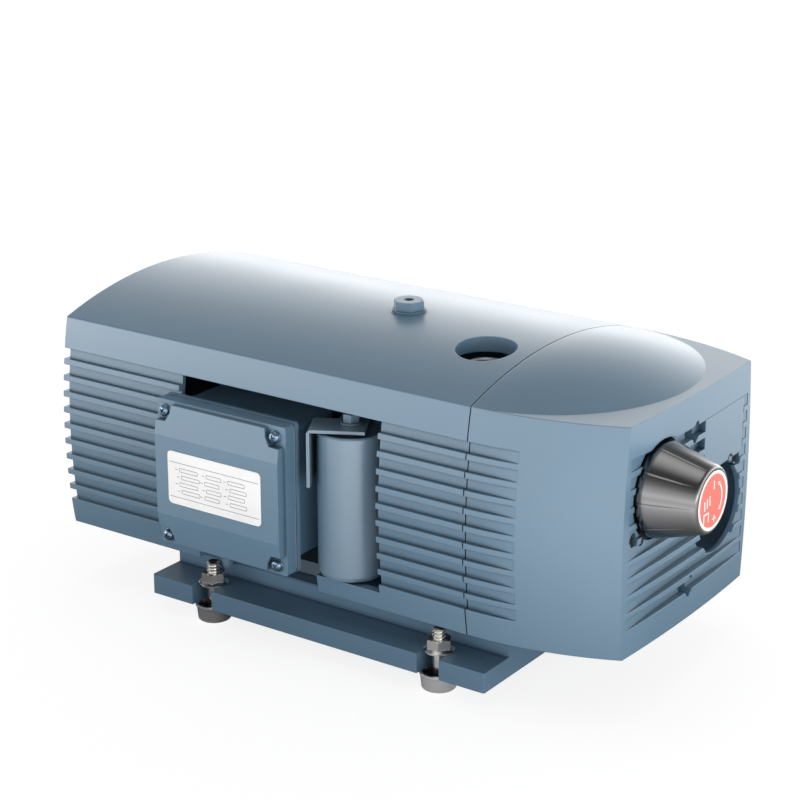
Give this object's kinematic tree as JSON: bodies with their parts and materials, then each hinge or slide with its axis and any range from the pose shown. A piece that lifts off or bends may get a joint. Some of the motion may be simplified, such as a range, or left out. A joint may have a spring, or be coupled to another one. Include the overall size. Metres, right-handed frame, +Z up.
{
  "type": "rotary vane vacuum pump",
  "caption": "Oil-free rotary vane vacuum pump in a ribbed hood with domed front cap, side terminal box, motor capacitor and regulating knob, on a base plate with cup feet.",
  "frame": {"origin": "point on the floor midway between the four feet", "axes": "+X along the shaft towards the regulating knob, +Z up, terminal box on the -Y side"},
  "size_m": [0.5928, 0.3068, 0.2786],
  "materials": {
    "paint": "satin blue-grey paint",
    "hood_paint": "satin blue-grey, painted moulding",
    "plate_paint": "satin blue-grey, painted casting",
    "can": "satin blue-grey can",
    "bracket": "satin blue-grey sheet",
    "zinc": "bright zinc plated",
    "cup": "dark steel",
    "rubber": "matte black",
    "cast_aluminium": "dark coated casting",
    "iron": "machined grey iron",
    "carbon": "dull carbon",
    "lamination": "stacked sheet",
    "copper": "varnished copper",
    "brass": "plain brass",
    "steel": "ground steel",
    "black_plastic": "black moulded plastic",
    "filter_paper": "pleated paper",
    "knob": "dark grey, glossy",
    "disc": "salmon red with white marks",
    "plate": "white, blank"
  },
  "bodies": {
    "pump_body": {"base_plate": "plate_paint", "bearing_outer_rings": "steel", "bracket_bolt": "zinc", "cable_gland": "hood_paint", "cap_screws": "zinc", "capacitor": "can", "capacitor_bracket": "bracket", "capacitor_nut": "zinc", "data_plate": "plate", "fan_cowl": "black_plastic", "fan_housing": "cast_aluminium", "filter_housing": "cast_aluminium", "foot_cups": "cup", "foot_nuts": "zinc", "foot_pads": "rubber", "foot_studs": "zinc", "front_cap": "hood_paint", "hood": "hood_paint", "hood_brackets": "cup", "hood_buffers": "rubber", "inlet_port": "steel", "intake_filter": "filter_paper", "intake_lid": "cast_aluminium", "lifting_boss": "paint", "lifting_pillar": "cast_aluminium", "motor_bolts": "zinc", "motor_frame": "cast_aluminium", "motor_shield_front": "cast_aluminium", "motor_shield_rear": "cast_aluminium", "outlet_filter": "filter_paper", "outlet_lid": "cast_aluminium", "pump_back_plate": "iron", "pump_bolts": "zinc", "pump_cylinder": "iron", "pump_front_plate": "iron", "rear_grille": "black_plastic", "shield_screws": "zinc", "stator_core": "lamination", "stator_windings": "copper", "terminal_block": "black_plastic", "terminal_box": "plate_paint", "terminal_cover": "plate_paint", "terminal_gasket": "rubber", "terminal_screws": "zinc", "terminal_studs": "brass", "valve_body": "brass", "valve_spring": "steel"},
    "rotating_group": {"shaft": "steel", "shaft_keys": "steel", "motor_rotor": "lamination", "bearing_inner_rings": "steel", "rear_fan": "black_plastic", "cooling_fan": "black_plastic", "pump_rotor": "iron", "vanes": "carbon"},
    "knob": {"regulator_knob": "knob", "knob_disc": "disc"},
    "valve": {"valve_stem": "steel"},
    "seat": {"spring_seat": "steel"},
    "nut": {"adjusting_nut": "brass"}
  },
  "joints": [
    {"name": "shaft_spin", "type": "hinge", "parent": "pump_body", "child": "rotating_group", "pos_m": [0.02335, 0, 0.1366], "axis": [1, 0, 0], "continuous": true},
    {"name": "knob_turn", "type": "hinge", "parent": "pump_body", "child": "knob", "pos_m": [0.29335, -0.05, 0.1835], "axis": [1, 0, 0], "range_deg": [-150, 150]},
    {"name": "valve_lift", "type": "slide", "parent": "pump_body", "child": "valve", "axis": [-1, 0, 0], "range_m": [0, 0.004], "stiffness_N_per_m": 900, "springref_m": -0.002, "deforming": ["valve_spring"]},
    {"name": "seat_travel", "type": "slide", "parent": "valve", "child": "seat", "axis": [1, 0, 0], "range_m": [-0.00126, 0.00126]},
    {"name": "nut_turn", "type": "hinge", "parent": "seat", "child": "nut", "pos_m": [0.29035, -0.05, 0.1835], "axis": [1, 0, 0], "range_deg": [-151, 151]}
  ],
  "couplings": [
    {"joint": "seat_travel", "follows": "knob_turn", "m_per_rad": 0.00047746},
    {"joint": "nut_turn", "follows": "knob_turn", "ratio": 1}
  ]
}
